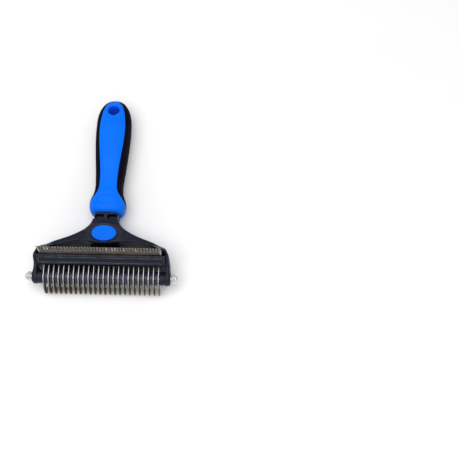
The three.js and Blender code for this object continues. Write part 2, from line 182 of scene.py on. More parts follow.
def cut(mesh, *tools):
    things = [placed("cutter", tool) for tool in tools]
    result = worked(mesh, *[("BOOLEAN", dict(operation="DIFFERENCE", solver="EXACT", object=thing))
                            for thing in things])
    for thing in things:
        bpy.data.objects.remove(thing)
    return result


def piece(name, mesh, material, body, nodes, at=(0, 0, 0), sharp=None):
    for polygon in mesh.polygons:
        polygon.use_smooth = True
    if sharp:
        mesh.set_sharp_from_angle(angle=math.radians(sharp))
    thing = placed(name, mesh)
    mesh.materials.clear()
    mesh.materials.append(material)
    thing.location = [c * MM for c in at]
    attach(thing, body)
    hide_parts(*nodes)
    return thing


def lathe_x(profile, sides=48, loop=False, hexagon=None):
    """Turns (x, radius) points about the rod's axis. A hexagon is given as the
    width across its flats, and limits the radius of the points that have a
    third number."""
    rows = []
    for entry in profile:
        x, radius = entry[0], entry[1]
        ring = []
        for j in range(sides):
            turn = 2 * math.pi * j / sides
            r = radius
            if len(entry) > 2:
                r = min(radius, hexagon / 2 / math.cos((turn + math.pi / 6) % (math.pi / 3) - math.pi / 6))
            ring.append((x, r * math.cos(turn), ROD_Z + r * math.sin(turn)))
        rows.append(ring)
    return skin(rows, loop=loop)


def rounded(corners, radius, steps=3):
    """A closed 2-D outline with its corners rounded. A third number on a corner
    is that corner's own radius."""
    out = []
    for i, corner in enumerate(corners):
        here = Vector(corner[:2])
        before = Vector(corners[i - 1][:2]) - here
        after = Vector(corners[(i + 1) % len(corners)][:2]) - here
        r = corner[2] if len(corner) > 2 else radius
        start = here + before.normalized() * min(r, before.length * 0.49)
        end = here + after.normalized() * min(r, after.length * 0.49)
        for k in range(steps + 1):
            t = k / steps
            out.append(tuple((1 - t) ** 2 * start + 2 * t * (1 - t) * here + t * t * end))
    return out


def bezier(*knots, steps=16):
    """Points on successive quadratic curves: start, control, end, control, end."""
    out = [np.array(knots[0], float)]
    for i in range(0, len(knots) - 2, 2):
        a, b, c = (np.array(k, float) for k in knots[i:i + 3])
        for k in range(1, steps + 1):
            t = k / steps
            out.append((1 - t) ** 2 * a + 2 * t * (1 - t) * b + t * t * c)
    return np.array(out)


def spline(knots, samples):
    """A smooth curve through the knots."""
    p = np.array(knots, float)
    p = np.vstack([2 * p[0] - p[1], p, 2 * p[-1] - p[-2]])
    out = []
    spans = len(p) - 3
    for k in range(samples + 1):
        s = min(k / samples * spans, spans - 1e-9)
        i, t = int(s), s - int(s)
        a, b, c, d = p[i:i + 4]
        out.append(0.5 * (2 * b + (c - a) * t + (2 * a - 5 * b + 4 * c - d) * t * t
                          + (3 * b - a - 3 * c + d) * t ** 3))
    return np.array(out)


def tube(path, radius, sides=14):
    """A round bar along a path of points, closed at both ends."""
    path = np.array(path, float)
    rows = []
    for i, p in enumerate(path):
        along = path[min(i + 1, len(path) - 1)] - path[max(i - 1, 0)]
        along /= np.linalg.norm(along)
        side = np.cross(along, (0, 0, 1))
        side /= np.linalg.norm(side)
        up = np.cross(side, along)
        rows.append([tuple(p + radius * (math.cos(a) * side + math.sin(a) * up))
                     for a in round_turn(sides)])
    return skin(rows, caps=(True, True))


def prism_x(outline, x0, x1):
    """A (Y, Z) outline carried from x0 to x1."""
    return skin([[(x, y, z) for y, z in outline] for x in (x0, x1)], caps=(True, True))


def prism_z(outline, z0, z1):
    """An (X, Y) outline carried from z0 to z1."""
    return skin([[(x, y, z) for x, y in outline] for z in (z0, z1)], caps=(True, True))


# ---- materials -----------------------------------------------------------------


class Finish:
    """A Principled material with procedural detail, sized in metres."""

    SEED_STEP = 37.0  # keeps the noise of two pieces with one material apart

    def __init__(self, name, **settings):
        self.material = bpy.data.materials.new(name)
        self.material.use_nodes = True
        self.tree = self.material.node_tree
        self.shader = self.tree.nodes["Principled BSDF"]
        for key, value in settings.items():
            self.shader.inputs[key.replace("_", " ")].default_value = value
        self.normal = None

    def node(self, kind, **settings):
        made = self.tree.nodes.new(kind)
        for key, value in settings.items():
            setattr(made, key, value)
        return made

    def link(self, a, b):
        self.tree.links.new(a, b)

    def noise(self, scale, stretch=(1, 1, 1), detail=3.0, roughness=0.55):
        place = self.node("ShaderNodeTexCoord")
        info = self.node("ShaderNodeObjectInfo")
        shape = self.node("ShaderNodeMapping")
        shape.inputs["Scale"].default_value = stretch
        self.link(place.outputs["Object"], shape.inputs["Vector"])
        seed = self.node("ShaderNodeMath", operation="MULTIPLY")
        seed.inputs[1].default_value = self.SEED_STEP
        self.link(info.outputs["Random"], seed.inputs[0])
        made = self.node("ShaderNodeTexNoise", noise_dimensions="4D")
        made.inputs["Scale"].default_value = scale
        made.inputs["Detail"].default_value = detail
        made.inputs["Roughness"].default_value = roughness
        self.link(shape.outputs["Vector"], made.inputs["Vector"])
        self.link(seed.outputs[0], made.inputs["W"])
        return made.outputs["Fac"]

    def ramp(self, value, *stops):
        made = self.node("ShaderNodeValToRGB")
        elements = made.color_ramp.elements
        while len(elements) < len(stops):
            elements.new(0.5)
        for element, (at, colour) in zip(elements, stops):
            element.position = at
            element.color = (*colour, 1)
        self.link(value, made.inputs["Fac"])
        return made.outputs["Color"]

    def spread(self, value, low, high, from_low=0.3, from_high=0.7):
        made = self.node("ShaderNodeMapRange")
        for key, number in (("From Min", from_low), ("From Max", from_high),
                            ("To Min", low), ("To Max", high)):
            made.inputs[key].default_value = number
        self.link(value, made.inputs["Value"])
        return made.outputs["Result"]

    def mix(self, share, a, b):
        """A blend of two colours. A Mix node has its factor at input 0, and its
        colours at inputs 6 and 7 and output 2."""
        made = self.node("ShaderNodeMix", data_type="RGBA")
        for socket, value in zip((made.inputs[0], made.inputs[6], made.inputs[7]), (share, a, b)):
            if isinstance(value, (int, float)):
                socket.default_value = value
            elif isinstance(value, tuple):
                socket.default_value = (*value, 1)
            else:
                self.link(value, socket)
        return made.outputs[2]

    def edges(self, low, high):
        """How much a point stands out as a convex edge."""
        shape = self.node("ShaderNodeNewGeometry")
        return self.spread(shape.outputs["Pointiness"], 0, 1, low, high)

    def facing(self, axis, low=0.5, high=0.9):
        """How squarely the surface faces along one of the piece's axes."""
        place = self.node("ShaderNodeTexCoord")
        parts = self.node("ShaderNodeSeparateXYZ")
        size = self.node("ShaderNodeMath", operation="ABSOLUTE")
        self.link(place.outputs["Normal"], parts.inputs[0])
        self.link(parts.outputs[axis], size.inputs[0])
        return self.spread(size.outputs[0], 0, 1, low, high)

    def depth(self, low, high):
        """1 below the height low, in the piece's own frame, and 0 above high."""
        place = self.node("ShaderNodeTexCoord")
        parts = self.node("ShaderNodeSeparateXYZ")
        self.link(place.outputs["Object"], parts.inputs[0])
        return self.spread(parts.outputs["Z"], 1, 0, low, high)

    def product(self, a, b):
        made = self.node("ShaderNodeMath", operation="MULTIPLY")
        self.link(a, made.inputs[0])
        self.link(b, made.inputs[1])
        return made.outputs[0]

    def bump(self, height, distance, strength=1.0):
        made = self.node("ShaderNodeBump")
        made.inputs["Distance"].default_value = distance
        made.inputs["Strength"].default_value = strength
        self.link(height, made.inputs["Height"])
        if self.normal:
            self.link(self.normal, made.inputs["Normal"])
        self.normal = made.outputs["Normal"]
        self.link(self.normal, self.shader.inputs["Normal"])

    def colour(self, value):
        self.link(value, self.shader.inputs["Base Color"])

    def roughness(self, value):
        self.link(value, self.shader.inputs["Roughness"])


EDGE_SPAN = 0.055  # the rise of Pointiness over which an edge's pale wear and painted highlight set in


def moulded(name, dark, light, wear_and_highlight_colour, rough, grain_scale, grain_depth, wear_and_highlight_share=0.5, edge=0.505,
            **settings):
    """Injection-moulded plastic or rubber: tone drifts, convex edges turn paler, partly
    as wear and partly as a painted highlight, and the surface has a fine grain over
    a faint ripple. edge is the Pointiness at which the pale edge starts."""
    f = Finish(name, **settings)
    drift = f.noise(45, detail=4)
    patchiness = f.noise(220, detail=5, roughness=0.65)
    body = f.ramp(drift, (0.3, dark), (0.7, light))
    # Painted highlight along with wear: convex edges are mixed towards the pale colour.
    wear_and_highlight_mask = f.product(f.edges(edge, edge + EDGE_SPAN), f.spread(patchiness, 0.15, wear_and_highlight_share, 0.4, 0.62))
    f.colour(f.mix(wear_and_highlight_mask, body, wear_and_highlight_colour))
    f.roughness(f.spread(patchiness, *rough, 0.3, 0.7))
    f.bump(f.noise(130, detail=2), 0.00006, 0.5)
    f.bump(f.noise(grain_scale, detail=2), grain_depth)
    return f.material


def steel(name, dark, light, rough, stretch, line_depth=0.000012, stain=(0.3, 0.26, 0.21),
          painted_shade_faces=None, painted_shade_below=None):
    """Ground or drawn steel: fine lines along one way, and faint stains. painted_shade_faces
    is (axis, dark, light, roughness) for the faces that look along that axis, painted darker as
    shade, and painted_shade_below is (low, high, colour), a painted shade of darker brown below those
    heights."""
    f = Finish(name, Metallic=1.0)
    lines = f.noise(1.0, stretch=stretch, detail=3, roughness=0.6)
    patches = f.noise(90, detail=4)
    grain = f.spread(lines, 0, 1, 0.35, 0.65)
    body = f.mix(grain, dark, light)
    sheen = f.spread(f.mix(0.5, lines, patches), *rough, 0.35, 0.65)
    if painted_shade_faces:
        axis, low, high, dull = painted_shade_faces
        # Painted shade: the faces that look along this axis get a darker colour.
        across = f.facing(axis)
        body = f.mix(across, body, f.mix(grain, low, high))
        sheen = f.mix(across, sheen, f.spread(patches, *dull, 0.35, 0.65))
    # Painted shade: below these heights the steel is tinted a darker brown.
    if painted_shade_below:
        bottom, top, tint = painted_shade_below
        body = f.mix(f.product(f.depth(bottom, top), f.spread(patches, 0.7, 1.0)), body, tint)
    f.colour(f.mix(f.spread(patches, 0.0, 0.35, 0.55, 0.75), body, stain))
    f.roughness(sheen)
    f.bump(lines, line_depth, 0.7)
    return f.material


# The pale edges of these plastics are partly wear and partly a painted highlight on rims, seams and ridges.
BLUE = moulded(
    "azure_abs", (0.0004, 0.146, 0.84), (0.0008, 0.166, 0.93), (0.030, 0.29, 0.97),
    rough=(0.34, 0.46), grain_scale=1500, grain_depth=0.000006, wear_and_highlight_share=0.9, edge=0.54,
    Specular_IOR_Level=0.07)
BLACK = moulded(
    "black_abs", (0.0040, 0.0058, 0.0170), (0.0062, 0.0090, 0.0250), (0.046, 0.052, 0.078),
    rough=(0.30, 0.44), grain_scale=2300, grain_depth=0.000012, Specular_IOR_Level=0.2)
# The clamp's bright pale edges are mostly a painted highlight along its ridge and rims.
CLAMP = moulded(
    "clamp_abs", (0.0030, 0.0042, 0.0120), (0.0048, 0.0066, 0.0180), (0.150, 0.165, 0.215),
    rough=(0.24, 0.36), grain_scale=2300, grain_depth=0.000008, wear_and_highlight_share=0.95, Specular_IOR_Level=0.2)
SPACER = moulded(
    "spacer_abs", (0.0085, 0.0115, 0.034), (0.0125, 0.0170, 0.046), (0.040, 0.047, 0.085),
    rough=(0.22, 0.32), grain_scale=2000, grain_depth=0.000006, Specular_IOR_Level=0.35)
RUBBER = moulded(
    "grip_tpr", (0.0022, 0.0018, 0.0080), (0.0036, 0.0030, 0.0120), (0.008, 0.0075, 0.017),
    rough=(0.66, 0.80), grain_scale=2600, grain_depth=0.00003, Specular_IOR_Level=0.04)
# The rake's side faces and lower hooks, and the edge comb's faces looking up and down, are painted darker
# as shade.
RAKE_STEEL = steel(
    "rake_steel", (0.36, 0.35, 0.33), (0.52, 0.505, 0.48), (0.24, 0.38), (120, 700, 2600),
    painted_shade_faces=("X", (0.085, 0.068, 0.046), (0.165, 0.132, 0.095), (0.34, 0.50)),
    painted_shade_below=(0.0130, 0.0178, (0.125, 0.097, 0.062)))
EDGE_STEEL = steel(
    "edge_steel", (0.36, 0.315, 0.28), (0.60, 0.54, 0.49), (0.30, 0.46), (5200, 300, 160),
    painted_shade_faces=("Z", (0.09, 0.075, 0.06), (0.16, 0.135, 0.11), (0.45, 0.60)))
ROD_STEEL = steel(
    "rod_steel", (0.42, 0.41, 0.39), (0.66, 0.65, 0.62), (0.20, 0.38), (3200, 300, 300))
NUT_METAL = steel(
    "nut_nickel", (0.64, 0.64, 0.63), (0.80, 0.80, 0.79), (0.08, 0.20), (500, 500, 500),
    line_depth=0.000004, stain=(0.55, 0.52, 0.47))


# ---- handle ----------------------------------------------------------------------

# Knots are (Y, half width) in plan, and (Y, Z) in the two side outlines.
width_knots = np.array([
    (55.0, 11.4), (55.5, 12.3), (56.4, 13.2), (57.8, 14.1), (60.0, 14.85), (62.5, 15.2),
    (65.0, 15.05), (67.5, 14.5), (70.0, 13.6), (73.0, 12.6), (77.0, 11.8), (82.0, 11.6),
    (88.0, 12.0), (94.0, 12.5), (104.0, 13.35), (114.0, 14.15), (123.0, 14.75), (131.0, 14.98),
    (138.0, 14.9)])
panel_knots = np.array([
    (64.0, 13.9), (66.5, 12.9), (70.5, 10.0), (73.6, 8.4), (77.0, 7.5), (81.0, 7.3), (87.0, 7.35),
    (94.0, 7.7), (103.0, 8.6), (113.0, 9.7), (122.0, 10.5), (131.0, 10.9), (138.0, 10.6),
    (145.0, 9.8)])
panel_end = np.array([
    (145.0, 9.8), (150.0, 8.7), (154.5, 7.15), (PANEL_END - 3.3, 5.4), (PANEL_END - 1.4, 3.6),
    (PANEL_END - 0.35, 1.7), (PANEL_END, 0.0)])

width_line = spline(width_knots, 400)
panel_line = np.vstack([spline(panel_knots, 400), spline(panel_end, 200)[1:]])

top_line = np.vstack([
    [(55.0, 20.6), (55.4, 21.9), (56.2, 23.0), (57.4, 23.9), (59.0, 24.4), (61.5, 24.5),
     (65.0, 24.45)],
    bezier((68, 24.3), (78, 20.7), (98, 22.4), (122, 25.4), (146, 23.6), (HANDLE_END, 21),
           (HANDLE_END, 11), steps=60)])
bottom_line = np.vstack([
    [(55.0, 3.7), (55.4, 2.5), (56.2, 1.5), (57.4, 0.7), (59.0, 0.25), (61.5, 0.1)],
    bezier((66, 0.3), (76, 2.6), (86, 2.2), (98, 0), (110, 0), (125, 0), (140, 0), (HANDLE_END, 1),
           (HANDLE_END, 11), steps=60)])


def read_line(line, y):
    return float(np.interp(y, line[:, 0], line[:, 1]))


def half_width(y):
    if y > TAIL_Y:
        s = (y - TAIL_Y) / (HANDLE_END - TAIL_Y)
        return TAIL_HALF_WIDTH * max(0.0, 1 - s ** 2.2) ** (1 / 2.1)
    return read_line(width_line, y)


def panel_width(y):
    if y >= PANEL_END:
        return 0.0
    return read_line(panel_line, y)


def section(y):
    """The section's middle height, half its height and half its width."""
    low, high = read_line(bottom_line, y), read_line(top_line, y)
    return (low + high) / 2, (high - low) / 2, max(half_width(y), NO_WIDTH)


def surface(x, y, upper=True):
    """Height of the handle's outer surface at x, y."""
    middle, half, w = section(y)
    rise = max(0.0, 1 - min(1.0, abs(x) / w) ** SECTION_POWER) ** (1 / SECTION_POWER)
    z = middle + (half if upper else -half) * rise
    if upper:
        across, along, centre = THUMB_PAD
        away = math.hypot(x / across, (y - centre) / along)
        fade = 0.45 + 0.55 * held((72 - y) / 8)
        z -= THUMB_PAD_DEPTH * held((1.02 - away) / 0.08) * fade
    return z


def section_points(y, first, last, count):
    """Points round the section at y. A turn is 90 degrees at the top centre,
    0 at the widest point and -90 at the middle of the underside."""
    middle, half, w = section(y)
    out = []
    for turn in np.linspace(first, last, count + 1):
        x = w * max(math.cos(turn), 0.0) ** (2 / SECTION_POWER)
        below = middle - half * abs(math.sin(turn)) ** (2 / SECTION_POWER)
        out.append((x, y, surface(x, y) if turn > 0 else below))
    return out


def panel_turn(y):
    w = max(half_width(y), NO_WIDTH)
    return math.acos(min(1.0, panel_width(y) / w) ** (SECTION_POWER / 2))


# The seam leaves the panel's edge and runs forward down the flange's side.
seam_line = spline(
    [(58.8, -math.pi / 2), (59.2, -1.08), (60.0, -0.6), (61.0, -0.2), (62.0, 0.06), (63.5, 0.27),
     (65.2, 0.44)] + [(y, panel_turn(y)) for y in (67.0, 68.5)], 300)


def seam_turn(y):
    if y >= seam_line[-1][0]:
        return panel_turn(y)
    return read_line(seam_line, y)


def seam_turns(y):
    """The turns at which the blue body ends and the soft grip starts."""
    if y <= seam_line[0][0]:
        return -math.pi / 2, -math.pi / 2
    if y >= PANEL_END:
        return math.pi / 2, math.pi / 2
    turn = seam_turn(y)
    turn_step, y_step = 0.02, 0.05
    a, b = section_points(y, turn - turn_step, turn + turn_step, 1)
    reach = max(math.dist(a, b) / (2 * turn_step), 1.0)
    slope = reach * (seam_turn(y + y_step) - seam_turn(y - y_step)) / (2 * y_step)
    gap = SEAM * math.hypot(1, slope) / reach
    return min(turn + gap, math.pi / 2), max(turn - gap, -math.pi / 2)


def stations(start, end=HANDLE_END):
    """Y of each section, closer together where the handle curves more."""
    ys = np.concatenate([
        [55.0, 55.15, 55.4, 55.8, 56.3, 57.0, 57.9, 58.5], np.arange(58.9, 68, 0.25),
        np.arange(68, 78, 0.5), np.arange(78, TAIL_Y, 1.25),
        TAIL_Y + (HANDLE_END - TAIL_Y) * np.sin(np.linspace(0, math.pi / 2, 60))])
    return [start] + [y for y in ys if start + 0.1 < y < end - 0.05] + [end]


def mirrored(points, faces):
    return (points, faces), ([(-x, y, z) for x, y, z in points], faces)


def handle_body_mesh():
    rows = [section_points(y, math.pi / 2, seam_turns(y)[0], PANEL_COLUMNS)
            for y in stations(FLANGE_Y, PANEL_END)]
    # the flange's front face, in to the tang
    front = rows[0]
    ring = front + [(-x, y, z) for x, y, z in reversed(front[1:-1])]
    centre = section(FLANGE_Y)[0]
    inner = [[(x * s, y + d, centre + (z - centre) * s) for x, y, z in ring]
             for s, d in ((1, 0), (0.96, 0), (0.8, 0), (0.62, 0), (0.58, 0.3), (0.57, 1.5))]
    return mesh_of("handle_body", *mirrored(*skin(rows, wrap=False)), skin(inner), weld=4e-6)


def soft_grip_mesh():
    rows = [section_points(y, seam_turns(y)[1], -math.pi / 2, SIDE_COLUMNS)
            for y in stations(seam_line[0][0] + 0.06)]
    return mesh_of("soft_grip", *mirrored(*skin(rows, wrap=False)), weld=4e-6)


def shell(mesh):
    return worked(
        mesh,
        ("SOLIDIFY", dict(thickness=SHELL_T * MM, offset=-1.0, use_even_offset=False, use_rim=True)),
        ("BEVEL", dict(width=SHELL_LIP * MM, segments=3, limit_method="ANGLE",
                       angle_limit=math.radians(55))))


def hole_tool():
    outline = [(HOLE_CUT_R * math.cos(a), HOLE_Y + HOLE_CUT_R * math.sin(a)) for a in round_turn(64)]
    return mesh_of("tool", prism_z(outline, -3, 30))


def eyelet_mesh():
    """The sleeve through the handle, whose two lips follow the surfaces."""
    rows = []
    # radius, and rise above the handle's surface
    lips = [(6.15, -0.5), (6.12, -0.02), (6.0, 0.045), (5.75, 0.04), (5.45, -0.03), (5.2, -0.2),
            (5.06, -0.45), (5.0, -0.85)]
    for upper, order in ((True, lips), (False, lips[::-1])):
        for r, rise in order:
            ring = []
            for a in round_turn(72):
                x, y = r * math.cos(a), HOLE_Y + r * math.sin(a)
                ring.append((x, y, surface(x, y, upper) + (rise if upper else -rise)))
            rows.append(ring)
    return mesh_of("eyelet", skin(rows, loop=True))


piece("handle_shell", cut(shell(handle_body_mesh()), hole_tool()), BLUE, "comb",
      ["handle_body"], sharp=50)
piece("grip_shell", cut(shell(soft_grip_mesh()), hole_tool()), RUBBER, "comb",
      ["soft_grip"], sharp=50)
piece("hanging_eyelet", eyelet_mesh(), BLUE, "comb", ["handle_body"], sharp=60)


# ---- head ------------------------------------------------------------------------


def arm_share(x, y, z):
    """How much of the extra rounding a point of the head takes: the arms and
    the outer edges of the cheeks, but not the seats, bosses and screw holes."""
    across, along, centre, _ = BADGE
    from_badge = math.hypot(x / (across + 1.6), (y - centre) / (along + 1.6))
    from_rod = math.hypot(y, z - ROD_Z)
    arms = held((y - 22.5) / 2) * held((49.3 - y) / 1.5)
    cheeks = held((abs(x) - 51.9) / 1.2) * held((y - 6.5) / 2)
    bosses = held((abs(x) - 52.5) / 1.5) * held((from_rod - 4.6) / 0.8)
    return max(arms, cheeks, bosses) * held((from_badge - 1) / 0.15)


def rounder(mesh, share, rounds):
    """Moves each point towards the mean of its neighbours, by up to half of the
    way each round, times its own share."""
    co = np.empty(len(mesh.vertices) * 3)
    mesh.vertices.foreach_get("co", co)
    co = co.reshape(-1, 3)
    weight = np.array([share(x / MM, (y - ROD_Y) / MM, z / MM) for x, y, z in co])[:, None] * 0.5
    ends = np.empty(len(mesh.edges) * 2, int)
    mesh.edges.foreach_get("vertices", ends)
    a, b = ends.reshape(-1, 2).T
    count = (np.bincount(a, minlength=len(co)) + np.bincount(b, minlength=len(co)))[:, None]
    for _ in range(rounds):
        total = np.stack([np.bincount(a, co[b, k], len(co)) + np.bincount(b, co[a, k], len(co))
                          for k in range(3)], 1)
        co += weight * (total / count - co)
    mesh.vertices.foreach_set("co", co.ravel())
    return mesh


def head_mesh():
    pockets = []
    inner, outer, front, back = NECK_POCKET
    for side in (-1, 1):
        corners = [(side * inner, front), (side * outer, front), (side * outer, back), (side * inner, back)]
        pockets.append(mesh_of("tool", prism_z(rounded(corners[::side], 0.5), 15.4, 26)))
    base = cut(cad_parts["head_frame"].data.copy(), *pockets)
    turns = np.linspace(0, 2 * math.pi, 97)
    rim = [(15.7 * math.cos(a), BADGE[2] + 0.4 + 8.35 * math.sin(a), 22.4) for a in turns]
    ribs = [mesh_of("rib", tube(rim, 0.72))]
    for side in (-1, 1):
        rim = spline([(side * 3, 26.9), (side * 9, 27.8), (side * 20, 29.7), (side * 31, 27.3),
                      (side * 40, 24.3), (side * 44.5, 21.8)], 40)
        ribs.append(mesh_of("rib", tube([(x, y, 21.75) for x, y in rim], 0.75)))
    return rounder(remeshed(joined("head", [base] + ribs), 0.42, 8), arm_share, 40)


piece("head_moulding", head_mesh(), BLACK, "comb", ["head_frame"])


def badge_mesh():
    across, along, centre, seat = BADGE
    sides, rings, crown = 96, 12, 0.28
    # inset from the outline, and height above the seat
    profile = [(0.0, 0.0), (0.0, 0.75), (0.12, 1.0), (0.4, 1.17), (0.75, 1.12), (1.0, 0.9),
               (1.2, 0.82), (1.5, 0.88)]

    def oval(a, b, z):
        return [(a * math.cos(turn), centre + b * math.sin(turn), z) for turn in round_turn(sides)]

    rows = [[(0, centre, seat)] * sides]
    rows += [oval(across - inset, along - inset, seat + rise) for inset, rise in profile]
    inset, rise = profile[-1]
    for k in range(1, rings + 1):
        s = 1 - k / rings
        rows.append(oval((across - inset) * s, (along - inset) * s, seat + rise + crown * (1 - s * s)))
    return mesh_of("badge", skin(rows))


piece("badge_oval", badge_mesh(), BLUE, "comb", ["badge"], sharp=60)


def clamp_mesh():
    lo, hi = box_mm("blade_clamp")
    low, high, back = Vector((8.8, 23.5)), Vector((12.8, hi.z)), 14.3
    section = [(low.x, lo.z), (back, lo.z), (back, high.y), (high.x, high.y), (low.x, low.y)]
    strip = bevelled(mesh_of("strip", prism_x(section, lo.x, hi.x)), 0.45, 4)
    slope = (high - low).normalized()
    out = Vector((-slope.y, slope.x))
    face = (high - low).length
    middle = (low + high) / 2

    def ring(inset, rise, r):
        w, h = hi.x - 1.2 - inset, face / 2 - 0.75 - inset
        flat = rounded([(-w, -h), (w, -h), (w, h), (-w, h)], r, 6)
        return [(x, middle.x + slope.x * v + out.x * rise, middle.y + slope.y * v + out.y * rise)
                for x, v in flat]

    rows = [ring(0, -0.5, 2.0), ring(0.0, 0.5, 2.0), ring(0.12, 0.75, 1.95), ring(0.38, 0.9, 1.8),
            ring(0.72, 0.9, 1.6), ring(0.98, 0.75, 1.45), ring(1.1, 0.5, 1.4), ring(1.1, -0.5, 1.4)]
    return remeshed(joined("clamp", [strip, mesh_of("rib", skin(rows, loop=True))]), 0.3, 3)


piece("clamp_bar", clamp_mesh(), CLAMP, "comb", ["blade_clamp"])


# ---- edge blade ------------------------------------------------------------------


def edge_mesh():
    lo, hi = box_mm("edge_blade")
    yc, half_t = (lo.y + hi.y) / 2, (hi.y - lo.y) / 2
    pitch = (hi.x - lo.x) / EDGE_TEETH
    land = pitch * 0.6
    root, shoulder = hi.z - 7.2, hi.z - 2.6
    # height, and half the thickness there
    levels = [(lo.z, half_t), (root, half_t), (shoulder, half_t * 0.92), (hi.z - 0.3, half_t * 0.72),
              (hi.z, half_t * 0.5)]
    points, faces = [], []

    def quad(*p):
        faces.append(tuple(range(len(points), len(points) + len(p))))
        points.extend(p)

    for i in range(EDGE_TEETH):
        x0 = lo.x + pitch * i
        a, b, end = x0 + (pitch - land) / 2, x0 + (pitch + land) / 2, x0 + pitch
        if i == 0:
            a = x0
        if i == EDGE_TEETH - 1:
            b = end
        for side in (-1, 1):
            for left, right, top in ((x0, a, 1), (a, b, len(levels) - 1), (b, end, 1)):
                if right - left < NO_WIDTH:
                    continue
                for k in range(top):
                    (z0, t0), (z1, t1) = levels[k], levels[k + 1]
                    quad((left, yc + side * t0, z0), (right, yc + side * t0, z0),
                         (right, yc + side * t1, z1), (left, yc + side * t1, z1))
        for left, right in ((x0, a), (b, end)):
            if right - left > NO_WIDTH:
                quad((left, yc - half_t, root), (right, yc - half_t, root), (right, yc + half_t, root),
                     (left, yc + half_t, root))
        for x in (a, b):
            for k in range(1, len(levels) - 1):
                (z0, t0), (z1, t1) = levels[k], levels[k + 1]
                quad((x, yc - t0, z0), (x, yc + t0, z0), (x, yc + t1, z1), (x, yc - t1, z1))
        z, t = levels[-1]
        quad((a, yc - t, z), (b, yc - t, z), (b, yc + t, z), (a, yc + t, z))
        for left, right in ((x0, a), (a, b), (b, end)):
            if right - left > NO_WIDTH:
                quad((left, yc - half_t, lo.z), (right, yc - half_t, lo.z), (right, yc + half_t, lo.z),
                     (left, yc + half_t, lo.z))
    for x in (lo.x, hi.x):
        quad((x, yc - half_t, lo.z), (x, yc + half_t, lo.z), (x, yc + half_t, root), (x, yc - half_t, root))
    return mesh_of("edge", (points, faces), weld=4e-6)


piece("edge_comb", bevelled(edge_mesh(), 0.05, 1, 35), EDGE_STEEL, "comb",
      ["edge_blade"], sharp=35)


# ---- rake ------------------------------------------------------------------------


def hook_outline():
    """A rake blade from the side, as (Y, Z) points from the top of its disc."""
    wall = box_mm("rake_blade_01")[1].y
    tip = (-4.6, 2.4)
    arc = [(HUB_R * math.cos(a), ROD_Z + HUB_R * math.sin(a))
           for a in np.linspace(0.5 * math.pi, 0.8 * math.pi, 14)]
    front = bezier(arc[-1], (-11.75, ROD_Z - 3), (-11.22, 5), (-10.8, 0.6), (-8.6, 0.0), (-6.4, 0.0),
                   tip, steps=14)
    back = bezier(tip, (-6.6, 2.2), (-7.2, 4.6), (-6.6, 8), (-1.5, ROD_Z - HUB_R), steps=12)
    heel = bezier((-1.5, ROD_Z - HUB_R), (2.5, ROD_Z - 6.4), (wall - 1.6, ROD_Z - 6.0), steps=6)
    tail = bezier((wall - 0.6, ROD_Z - 6.0), (wall, ROD_Z - 6.0), (wall, ROD_Z - 5.2), steps=4)
    shoulder = bezier((wall, ROD_Z + 6.1), (wall, ROD_Z + 6.8), (wall - 0.7, ROD_Z + 6.78), steps=4)
    outline = [tuple(p) for p in arc]
    for part in (front[1:], back[1:], heel[1:], tail, shoulder):
        outline += [tuple(p) for p in part]
    return outline


def rake_mesh():
    lo, hi = box_mm("rake_blade_01")
    half = (hi.x - lo.x) / 2 - 0.06
    blade = mesh_of("blade", prism_x(hook_outline(), -half, half))
    bore = mesh_of("tool", lathe_x([(-2, 0.0), (-2, BORE_R), (2, BORE_R), (2, 0.0)], 28))
    return bevelled(cut(blade, bore), 0.27, 4, 35)


rake = rake_mesh()
for i in range(1, RAKE_BLADES + 1):
    lo, hi = box_mm(f"rake_blade_{i:02d}")
    piece(f"rake_tooth_{i:02d}", rake, RAKE_STEEL, "comb", [f"rake_blade_{i:02d}"],
          at=((lo.x + hi.x) / 2, 0, 0), sharp=40)


def ring_mesh(name, width, outer, inner, lip, sides=48):
    """A ring centred on X = 0, with rounded rims."""
    end = width / 2
    corners = [(-end, inner, lip * 0.6), (-end, outer, lip), (end, outer, lip), (end, inner, lip * 0.6)]
    return mesh_of(name, lathe_x(rounded(corners, lip, 4), sides, loop=True))


lo, hi = box_mm("spacer_01")
spacer = ring_mesh("spacer", hi.x - lo.x, (hi.z - lo.z) / 2, BORE_R, 0.35)
for i in range(1, RAKE_SPACERS + 1):
    lo, hi = box_mm(f"spacer_{i:02d}")
    piece(f"spacer_ring_{i:02d}", spacer, SPACER, "comb", [f"spacer_{i:02d}"],
          at=((lo.x + hi.x) / 2, 0, 0), sharp=50)


def rod_mesh():
    """A rod with a rolled thread on the last stretch at each end."""
    pitch, depth, sides = 0.7, 0.36, 40
    end, plain = rod_hi.x / MM, 49
    xs = np.concatenate([
        np.arange(-end, -plain, pitch / 10), np.arange(-48.5, plain, 3.0),
        np.arange(plain, end, pitch / 10), [end]])
    rows = []
    for x in xs:
        ring = []
        for j in range(sides):
            turn = 2 * math.pi * j / sides
            runout = held((abs(x) - 50.0) / 1.2)
            phase = (x / pitch - turn / (2 * math.pi)) % 1.0
            groove = depth * held(1.25 - abs(phase - 0.5) * 4.0) * runout
            r = ROD_R - groove - 0.5 * max(0.0, (abs(x) - end + 0.5)) / 0.5
            ring.append((x, r * math.cos(turn), ROD_Z + r * math.sin(turn)))
        rows.append(ring)
    return mesh_of("rod", skin(rows, caps=(True, True)))


piece("rod_bar", rod_mesh(), ROD_STEEL, "comb", ["threaded_rod"], sharp=40)


# ---- fasteners -------------------------------------------------------------------


